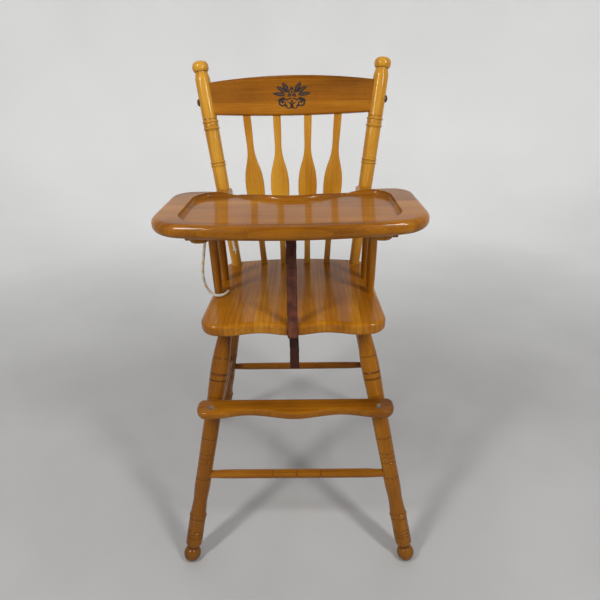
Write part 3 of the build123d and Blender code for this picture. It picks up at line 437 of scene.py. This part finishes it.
def tube(points, radius, sides):
    """Points and faces of a closed tube along a line."""
    made, faces = [], []
    for point, (normal, binormal) in zip(points, frames(points)):
        for k in range(sides):
            angle = tau * k / sides
            made.append(point + normal * (cos(angle) * radius) + binormal * (sin(angle) * radius))
    for ring in range(len(points) - 1):
        for k in range(sides):
            a, b = ring * sides + k, ring * sides + (k + 1) % sides
            faces.append((a, b, b + sides, a + sides))
    faces.append(tuple(reversed(range(sides))))
    faces.append(tuple(range(len(made) - sides, len(made))))
    return made, faces


class Heap:
    """Gathers the points and faces of several shapes for one mesh."""

    def __init__(self):
        self.points, self.faces = [], []

    def add(self, points, faces):
        first = len(self.points)
        self.points += points
        self.faces += [tuple(first + k for k in face) for face in faces]


# ---------------------------------------------------------------- tie cord

CORD_DIAMETER = 4.8 * MM
CORD_ROUTE = [
    (-141, -10, 564.2),
    (-143.5, -21, 564.4),
    (-151, -30.5, 564.6),
    (-162, -34.5, 565.4),
    (-172, -34.5, 570.5),
    (-179, -36, 580.5),
    (-183, -39, 594),
    (-184.5, -41, 611),
    (-183.5, -39.5, 631),
    (-180.5, -34, 651),
    (-177.5, -27, 672),
    (-175, -18.5, 688.5),
    (-174.4, -6, 697),
    (-174.4, 10, 699.5),
    (-174.8, 30, 699),
    (-175, 52, 698),
    (-174.6, 74, 698.5),
    (-173, 94, 699.5),
    (-169.5, 113, 700),
    (-165, 129, 699),
    (-160.5, 141, 694.5),
    (-156.5, 147.3, 685.5),
    (-153.3, 146, 673.5),
    (-151, 142.7, 659.5),
    (-149, 138.5, 643),
    (-147, 134.5, 625),
    (-144, 131.5, 609),
]
BRAID_STRANDS = 8
BRAID_PITCH = 17 * MM
BRAID_STEP = 0.7 * MM
CORD_WHITE = (0.80, 0.77, 0.69)
CORD_SOILED = (0.52, 0.47, 0.38)
CORD_YELLOW = (0.78, 0.50, 0.03)


def cord_fibre(name, flecked):
    """Cotton yarn: fine twisted fibres, a little soiled, and yellow in stretches if flecked."""
    material, tree, shader = new_material(name)
    place = place_of(tree)
    fibres = noise(tree, stretched(tree, place, (2600, 2600, 1500)), 1.0, 3.0, 0.7)
    soil = spread(tree, noise(tree, place, 38, 3.0), 0.45, 0.8, 0.0, 0.8)
    colour = mixed(tree, soil, CORD_WHITE, CORD_SOILED)
    if flecked:
        stretches = spread(tree, noise(tree, place, 31, 0.0), 0.47, 0.51)
        colour = mixed(tree, stretches, colour, CORD_YELLOW)
    colour = mixed(tree, math(tree, "MULTIPLY", fibres, 0.35), colour, (0.45, 0.40, 0.30), "MULTIPLY")
    feed(tree, shader, Base_Color=colour, Roughness=0.85, Normal=bump(tree, fibres, 0.5, 0.0003))
    feed(tree, shader, Sheen_Weight=0.35, Sheen_Roughness=0.5)
    return material


def centreline(curve):
    """Points along a curve object's own line."""
    plain = curve.copy()
    plain.data = curve.data.copy()
    plain.data.bevel_depth = 0
    link(plain)
    bpy.context.view_layer.update()
    mesh = bpy.data.meshes.new_from_object(plain.evaluated_get(bpy.context.evaluated_depsgraph_get()))
    points = [v.co.copy() for v in mesh.vertices]
    bpy.data.meshes.remove(mesh)
    bpy.data.objects.remove(plain)
    return points


def braid(name, line, materials):
    """Yarns plaited over and under each other round a line: half wind each way."""
    radius = CORD_DIAMETER / 2
    points = resampled(line, BRAID_STEP)
    around = frames(points)
    heap, flecked_faces = Heap(), []
    each_way = BRAID_STRANDS // 2
    for way in (1, -1):
        for k in range(each_way):
            strand = []
            for i, (point, (normal, binormal)) in enumerate(zip(points, around)):
                turn = way * tau * i * BRAID_STEP / BRAID_PITCH + tau * k / each_way
                weave = 0.055 * cos(each_way * turn + (pi if way < 0 else 0))
                out = radius * (0.86 + weave)
                strand.append(point + normal * (cos(turn) * out) + binormal * (sin(turn) * out))
            first = len(heap.faces)
            heap.add(*tube(strand, radius * 0.42, 5))
            if k == 0:
                flecked_faces += range(first, len(heap.faces))
    obj = mesh_object(name, heap.points, heap.faces)
    obj.data.materials.append(materials[0])
    obj.data.materials.append(materials[1])
    for index in flecked_faces:
        obj.data.polygons[index].material_index = 1
    return obj


def make_cord():
    yarns = (cord_fibre("cord_yarn", False), cord_fibre("cord_yarn_flecked", True))
    data = bpy.data.curves.new("tie_cord_core", "CURVE")
    data.dimensions = "3D"
    spline = data.splines.new("NURBS")
    spline.points.add(len(CORD_ROUTE) - 1)
    for point, place in zip(spline.points, CORD_ROUTE):
        point.co = (*(c * MM for c in place), 1)
    spline.order_u = 3
    spline.use_endpoint_u = True
    data.resolution_u = 12
    data.bevel_depth = CORD_DIAMETER / 2
    data.bevel_resolution = 3
    data.use_fill_caps = True
    core = link(bpy.data.objects.new("tie_cord_core", data))
    core.data.materials.append(yarns[0])
    line = centreline(core)
    plait = braid("tie_cord_braid", line, yarns)

    knot = make_knot(line, yarns)
    hitches = make_hitches(yarns)
    for piece in (core, plait, knot, hitches):
        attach(piece, "chair")
    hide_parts("tie_cord")
    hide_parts("tie_cord_knot")
    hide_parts("tie_cord_hitches")


def make_knot(line, yarns):
    """An overhand knot at the cord's lower end, with a short frayed tuft below it."""
    end = line[-1]
    down = (line[-1] - line[-4]).normalized()
    side = down.cross(Y_AXIS).normalized()
    front = down.cross(side)
    centre = end + down * 3.6 * MM
    loop = []
    for i in range(61):
        t = tau * i / 60
        across = (sin(t) + 1.7 * sin(2 * t)) * 1.25
        along = (cos(t) - 1.7 * cos(2 * t)) * 1.25
        depth = -sin(3 * t) * 1.25
        loop.append(centre + (side * across + down * along + front * depth) * MM)
    heap = Heap()
    heap.add(*tube(resampled(loop, 0.5 * MM), 1.75 * MM, 10))
    for k in range(18):
        turn = k * 2.4
        spreading = 0.25 + 0.75 * ((k * 7) % 18) / 18
        lean = side * cos(turn) * spreading + front * sin(turn) * spreading
        root = centre + down * 4 * MM
        hair = []
        for s in (0, 0.35, 0.7, 1):
            hair.append(root + lean * 1.2 * MM * (1 + 1.4 * s * s) + down * s * 6.5 * MM)
        heap.add(*tube(hair, 0.28 * MM, 4))
    knot = mesh_object("cord_knot", heap.points, heap.faces)
    knot.data.materials.append(yarns[0])
    return knot


HITCH_TURNS = 2
HITCH_STEPS = 40  # of each turn


def make_hitches(yarns):
    """Two turns of the cord round the front spindle, and two round the back post."""
    rounds = []
    for holder, inner_name in (("arm_spindle_front_left", "front"), ("back_post_left", "back")):
        axis = long_axis(NODES[holder])
        if axis.z < 0:
            axis = -axis
        in_front = inner_name == "front"
        ring = [v.co for v in NODES["tie_cord_hitches"].data.vertices if (v.co.y < 0.05) == in_front]
        middle = sum(ring, Vector()) / len(ring)
        reach = [((p - middle) - axis * (p - middle).dot(axis)).length for p in ring]
        rounds.append((middle, axis, (min(reach) + max(reach)) / 2))
    pieces = []
    for number, (middle, axis, radius) in enumerate(rounds):
        side = axis.cross(Y_AXIS).normalized()
        front = side.cross(axis)
        coil = []
        for i in range(HITCH_TURNS * HITCH_STEPS + 1):
            turn = tau * i / HITCH_STEPS + number
            rise = (i / HITCH_STEPS - HITCH_TURNS / 2) * CORD_DIAMETER * 0.98
            coil.append(middle + side * cos(turn) * radius + front * sin(turn) * radius + axis * rise)
        pieces.append(braid(f"hitch_{number}", coil, yarns))
        heap = Heap()
        heap.add(*tube(resampled(coil, 1 * MM), CORD_DIAMETER * 0.46, 10))
        core = mesh_object(f"hitch_core_{number}", heap.points, heap.faces)
        core.data.materials.append(yarns[0])
        core.data.materials.append(yarns[1])
        pieces.append(core)
    return joined("cord_hitches", pieces)


def joined(name, pieces):
    """Joins mesh objects into the first, under a new name."""
    bpy.ops.object.select_all(action="DESELECT")
    for piece in pieces:
        piece.select_set(True)
    bpy.context.view_layer.objects.active = pieces[0]
    bpy.ops.object.join()
    pieces[0].name = name
    pieces[0].data.name = name
    return pieces[0]


# ---------------------------------------------------------------- crotch strap

STRAP_STEP = 1.6 * MM
STRAP_CREASE_IN = 1.9 * MM  # from the strap's edge to the pressed line
STRAP_CREASE_DEPTH = 0.35 * MM
STRAP_FLARE = 0.14  # how much wider the strap is pulled where it folds round the seat
LEATHER_DARK = (0.030, 0.009, 0.006)
LEATHER_MIDDLE = (0.095, 0.026, 0.014)
LEATHER_PALE_AND_HIGHLIGHT = (0.20, 0.060, 0.026)


def leather():
    """Red-brown strap leather: pebbled, creased and darker at its edges, with a painted highlight at the
    fold and painted shade on the tail below the seat.
    """
    material, tree, shader = new_material("strap_leather_grain")
    place = place_of(tree)
    cells = {"Vector": place, "Scale": 900.0, "Randomness": 1.0}
    pebble = node(tree, "ShaderNodeTexVoronoi", cells, feature="SMOOTH_F1").outputs["Distance"]
    pebble = math(tree, "MULTIPLY", pebble, 1.4)
    creases = noise(tree, stretched(tree, place, (60, 420, 420)), 1.0, 4.0, 0.65)
    mottle = noise(tree, place, 70, 4.0, 0.6)
    tone = math(tree, "ADD", math(tree, "MULTIPLY", mottle, 0.75), math(tree, "MULTIPLY", creases, 0.35))
    tone = math(tree, "SUBTRACT", tone, math(tree, "MULTIPLY", pebble, 0.12))
    colour = ramp(tree, tone, [(0.3, LEATHER_DARK), (0.52, LEATHER_MIDDLE), (0.8, LEATHER_PALE_AND_HIGHLIGHT)])
    seat_low, seat_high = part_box("seat")
    parts = node(tree, "ShaderNodeSeparateXYZ", {0: place}).outputs
    # painted highlight: a lighter band round the fold's height, where the bend over the seat's edge
    # catches the light
    fold_height = (seat_low.z + seat_high.z) / 2
    away = math(tree, "ABSOLUTE", math(tree, "SUBTRACT", parts[2], fold_height))
    rubbed = spread(tree, away, 0.006, 0.022, 0.75, 0.0)
    rubbed = math(tree, "MULTIPLY", rubbed, spread(tree, mottle, 0.35, 0.6, 0.3, 1.0))
    # painted shade: the tail below the seat is darkened towards near-black
    below = spread(tree, parts[2], seat_low.z - 0.03, seat_low.z, 0.7, 0.0)
    colour = mixed(tree, below, colour, LEATHER_DARK)
    colour = mixed(tree, rubbed, colour, LEATHER_PALE_AND_HIGHLIGHT)
    half_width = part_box("crotch_strap")[1].x
    aside = math(tree, "ABSOLUTE", parts[0])
    edge = spread(tree, aside, half_width - 0.0016, half_width - 0.0004, 0.0, 0.8)
    colour = mixed(tree, edge, colour, LEATHER_DARK)
    height = math(tree, "ADD", pebble, math(tree, "MULTIPLY", creases, 1.5))
    rough = spread(tree, tone, 0.3, 0.8, 0.5, 0.34)
    feed(tree, shader, Base_Color=colour, Roughness=rough, Normal=bump(tree, height, 0.4, 0.0004))
    feed(tree, shader, Specular_IOR_Level=0.25)
    return material


def rounded_corner_line(corners, radii, step):
    """A line in the YZ plane through corner points, each but the ends rounded by an arc."""
    line = [Vector((0, *corners[0]))]
    for before, here, after, radius in zip(corners, corners[1:], corners[2:], radii):
        a, b, c = (Vector((0, *p)) for p in (before, here, after))
        first, last = (a - b).normalized(), (c - b).normalized()
        half = first.angle(last) / 2
        reach = radius / np.tan(half)
        centre = b + (first + last).normalized() * (radius / sin(half))
        start, end = (b + first * reach - centre).normalized(), (b + last * reach - centre).normalized()
        count = max(3, int(floor(radius * (pi - 2 * half) / step)) + 2)
        for i in range(count + 1):
            line.append(centre + start.slerp(end, i / count) * radius)
    line.append(Vector((0, *corners[-1])))
    return resampled(line, step)


def strap_section(half_width, half_thick):
    """The strap's section: rounded edges, and a pressed line near each edge of its outer face."""
    outer = [
        (-half_width + 0.25 * half_thick, half_thick),
        (-half_width + STRAP_CREASE_IN - 0.5 * MM, half_thick),
        (-half_width + STRAP_CREASE_IN, half_thick - STRAP_CREASE_DEPTH),
        (-half_width + STRAP_CREASE_IN + 0.5 * MM, half_thick),
    ]
    crown = [(x * half_width, half_thick + 0.12 * MM) for x in (-0.35, 0.35)]
    top = outer + crown + [(-x, t) for x, t in reversed(outer)]
    edge = [(half_width - 0.06 * half_thick, 0.62 * half_thick), (half_width, 0.0)]
    right = edge + [(half_width - 0.06 * half_thick, -0.62 * half_thick)]
    corner = half_width - 0.3 * half_thick
    bottom = [(x, -half_thick) for x in (corner, 0, -corner)]
    left = [(-x, t) for x, t in reversed(right)]
    return top + right + bottom + left


def make_strap():
    """One strap: its end under the tray, its long run, its fold round the seat, and its tail."""
    tab_low, tab_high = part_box("crotch_strap_tab")
    up_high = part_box("crotch_strap")[1]
    tail_low, tail_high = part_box("crotch_strap_tail")
    seat_low, seat_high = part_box("seat")
    thick = tab_high.z - tab_low.z
    half_width = (tab_high.x - tab_low.x) / 2
    tab_z = (tab_high.z + tab_low.z) / 2
    front = tail_low.y + thick / 2
    under = seat_low.z - thick / 2 - 0.3 * MM
    tail_y = tail_high.y - thick / 2
    # the corners go from the end under the tray down to the tail
    corners = [
        (tab_high.y, tab_z),
        (up_high.y - 1.0 * MM, tab_z),
        (front + 1.2 * MM, seat_high.z - 2.0 * MM),
        (front, under + thick),
        (front + 1.0 * MM, under),
        (tail_y, under),
        (tail_y + 0.5 * MM, tail_low.z + 60 * MM),
        (tail_y - 1.5 * MM, tail_low.z),
    ]
    radii = [4.5 * MM, 13 * MM, 3 * MM, 2.2 * MM, 5 * MM, 160 * MM]
    line = rounded_corner_line(corners, radii, STRAP_STEP)
    points, faces = [], []
    count = 0
    for i, point in enumerate(line):
        tangent = (line[min(i + 1, len(line) - 1)] - line[max(i - 1, 0)]).normalized()
        outward = X_AXIS.cross(tangent)
        near_fold = max(0.0, 1 - abs(point.z - (seat_low.z + seat_high.z) / 2) / (14 * MM))
        flare = 1 + STRAP_FLARE * near_fold * near_fold * (3 - 2 * near_fold) * (point.y < front + 12 * MM)
        wander = 0.25 * MM * sin(i * 0.21) + 0.15 * MM * sin(i * 0.53)
        section = strap_section(half_width * flare, thick / 2)
        count = len(section)
        points += [point + X_AXIS * (x + wander) + outward * t for x, t in section]
    for ring in range(len(line) - 1):
        for k in range(count):
            a, b = ring * count + k, ring * count + (k + 1) % count
            faces.append((a, a + count, b + count, b))
    faces.append(tuple(range(count)))
    faces.append(tuple(reversed(range(len(points) - count, len(points)))))
    strap = mesh_object("leather_strap", points, faces)
    paint(strap, leather())
    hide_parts("crotch_strap", "crotch_strap_tail", "crotch_strap_tab")
    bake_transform(strap)


# ---------------------------------------------------------------- crest ornament

ORNAMENT_SCALE = (1.34, 1.1)
INK_THICK = 0.14 * MM
INK_LIFT = 0.03 * MM
INK_COLOUR = (0.013, 0.006, 0.004)
INK_WORN = (0.06, 0.02, 0.006)


def facing_plane(name, direction):
    """Centre, and up and outward directions, of a node's largest flat face towards a direction."""
    best = max(
        (p for p in NODES[name].data.polygons if p.normal.dot(direction) > 0.8), key=lambda p: p.area
    )
    outward = best.normal.copy()
    flat = [v.co for v in NODES[name].data.vertices if abs((v.co - best.center).dot(outward)) < 0.05 * MM]
    low = Vector([min(p[k] for p in flat) for k in range(3)])
    high = Vector([max(p[k] for p in flat) for k in range(3)])
    up = (Z_AXIS - outward * outward.z).normalized()
    return (low + high) / 2, up, outward


def leaf(base, angle, length, width, notch=0.0):
    """A pointed leaf's outline, from its base, with a slit along its middle if notch is given."""
    halves = []
    for sign in (1, -1):
        side = []
        for i in range(13):
            t = i / 12
            out = width / 2 * sin(pi * t**0.85) * (1 + 0.12 * sin(9 * t))
            inner = notch * sin(pi * min(1, t * 1.15)) if t < 0.87 else 0
            side.append((t * length, sign * out, sign * inner))
        outline = [(along, out) for along, out, _ in side]
        outline += [(along, inner) for along, _, inner in reversed(side)][1:-1]
        halves.append(outline)
    c, s = cos(radians(angle)), sin(radians(angle))
    return [[(base[0] + x * c - y * s, base[1] + x * s + y * c) for x, y in half] for half in halves]


def circle(radius, count):
    return [(cos(tau * k / count) * radius, sin(tau * k / count) * radius) for k in range(count)]


def scroll(centre, start_angle, turns, start_radius, end_radius, width, hand=1):
    """A spiral stroke that thickens towards its middle and ends in a round eye."""
    count = 34
    outer, inner = [], []
    for i in range(count + 1):
        t = i / count
        angle = radians(start_angle) + hand * tau * turns * t
        radius = start_radius + (end_radius - start_radius) * t**0.8
        half = width / 2 * (0.25 + 0.75 * sin(pi * min(1, 0.15 + 0.85 * t)))
        outer.append((centre[0] + cos(angle) * (radius + half), centre[1] + sin(angle) * (radius + half)))
        inner.append((centre[0] + cos(angle) * (radius - half), centre[1] + sin(angle) * (radius - half)))
    eye_at = inner[-1]
    eye = [(eye_at[0] + x, eye_at[1] + y) for x, y in circle(width * 0.85, 14)]
    return [outer + list(reversed(inner)), eye]


def ornament_outlines():
    """A flower between fanned leaves, over a pair of scrolls and a hanging bud, in millimetres."""
    right = []
    right += leaf((6.5, 8), 62, 18, 8.6, 0.4)
    right += leaf((8.5, 5), 34, 20, 8.6, 0.4)
    right += leaf((10, 0.5), 8, 22, 7.8, 0.4)
    right += leaf((10, -5), -20, 15, 6.2, 0.3)
    right += scroll((14.5, -14.5), 150, 1.25, 8.5, 2.6, 3.1, -1)
    right += scroll((6.2, -20), 80, 0.8, 6.5, 3.2, 2.5, 1)
    shapes = right + [[(-x, y) for x, y in shape] for shape in right]
    for k in range(5):
        angle = 90 + 72 * k
        base = (cos(radians(angle)) * 2.8, 5.5 + sin(radians(angle)) * 2.8)
        shapes += leaf(base, angle, 7.6, 6.8, 0.25)
    shapes.append([(x, 5.5 + y) for x, y in circle(1.9, 16)])
    shapes += leaf((0, -8), -90, 19, 5.5, 0.4)
    for sign in (1, -1):
        ribbon = ((1.2, -4.5), (7.5, -6.5), (11, -9.5), (7, -8.6), (1.4, -7.2))
        shapes.append([(sign * x, y) for x, y in ribbon])
    return shapes


def ink():
    """Stencil paint, dark brown, rubbed thin in places."""
    material, tree, shader = new_material("stencil_paint")
    place = place_of(tree)
    worn = spread(tree, noise(tree, place, 260, 5.0, 0.7), 0.55, 0.75, 0.0, 0.7)
    colour = mixed(tree, worn, INK_COLOUR, INK_WORN)
    feed(tree, shader, Base_Color=colour, Roughness=0.42, Normal=bump(tree, worn, 0.2, 0.00005))
    feed(tree, shader, Coat_Weight=0.35, Coat_Roughness=0.12)
    return material


def make_ornament():
    centre, up, outward = facing_plane("crest_rail", -Y_AXIS)
    across = up.cross(outward)
    heap = Heap()
    for outline in ornament_outlines():
        outline = [(x * ORNAMENT_SCALE[0], y * ORNAMENT_SCALE[1]) for x, y in outline]
        area = sum(a[0] * b[1] - b[0] * a[1] for a, b in zip(outline, outline[1:] + outline[:1]))
        if area < 0:
            outline = list(reversed(outline))
        count = len(outline)
        flat = [centre + across * (x * MM) + up * (y * MM) for x, y in outline]
        front = [p + outward * (INK_LIFT + INK_THICK) for p in flat]
        back = [p + outward * INK_LIFT for p in flat]
        sides = [(k, k + count, (k + 1) % count + count, (k + 1) % count) for k in range(count)]
        heap.add(front + back, [tuple(range(count)), tuple(reversed(range(count, 2 * count)))] + sides)
    ornament = mesh_object("crest_ornament", heap.points, heap.faces, smooth=False)
    paint(ornament, ink())
    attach(ornament, "chair")


# ---------------------------------------------------------------- floor


def make_floor():
    """A pale round floor, painted paler from the chair out to its rim, which curves up into a wall that
    glows a little behind the chair.
    """
    profile = [(FLOOR_RADIUS * k / 10, 0.0) for k in range(11)]
    for k in range(1, 13):
        angle = pi / 2 * k / 12
        profile.append((FLOOR_RADIUS + FLOOR_RISE * sin(angle), FLOOR_RISE * (1 - cos(angle))))
    profile.append((FLOOR_RADIUS + FLOOR_RISE, FLOOR_RISE + FLOOR_WALL))
    sides = 96
    points = [(x, y, z) for r, z in profile for x, y in circle(r, sides)]
    faces = []
    for ring in range(len(profile) - 1):
        for k in range(sides):
            a, b = ring * sides + k, ring * sides + (k + 1) % sides
            faces.append((a, b, b + sides, a + sides))
    ground = mesh_object("floor", points, faces)
    material, tree, shader = new_material("pale_floor")
    place = place_of(tree)
    cloud = spread(tree, noise(tree, place, 2.4, 3.0), 0.3, 0.7, -0.03, 0.03)
    away = node(tree, "ShaderNodeVectorMath", {0: place}, operation="LENGTH").outputs["Value"]
    # painted light: the floor's colour grows paler from under the chair out to its rim
    tone = math(tree, "ADD", cloud, spread(tree, away, 0.35, FLOOR_RADIUS, FLOOR_NEAR, FLOOR_FAR))
    colour = node(tree, "ShaderNodeCombineColor", {0: tone, 1: tone, 2: tone}).outputs[0]
    weave = noise(tree, place, 900, 2.0)
    back = node(tree, "ShaderNodeSeparateXYZ", {0: place}).outputs[1]
    behind = spread(tree, back, 0.2, FLOOR_RADIUS, 0.0, FLOOR_GLOW)
    feed(tree, shader, Base_Color=colour, Roughness=0.75, Normal=bump(tree, weave, 0.1, 0.0002))
    feed(tree, shader, Emission_Color=(1, 1, 1, 1), Emission_Strength=behind)
    paint(ground, material)


# ---------------------------------------------------------------- the scene

bpy.context.scene.view_settings.view_transform = "Standard"
make_camera()
make_cord()
make_strap()
make_ornament()
make_wood()
make_fittings()
make_floor()
make_lights()
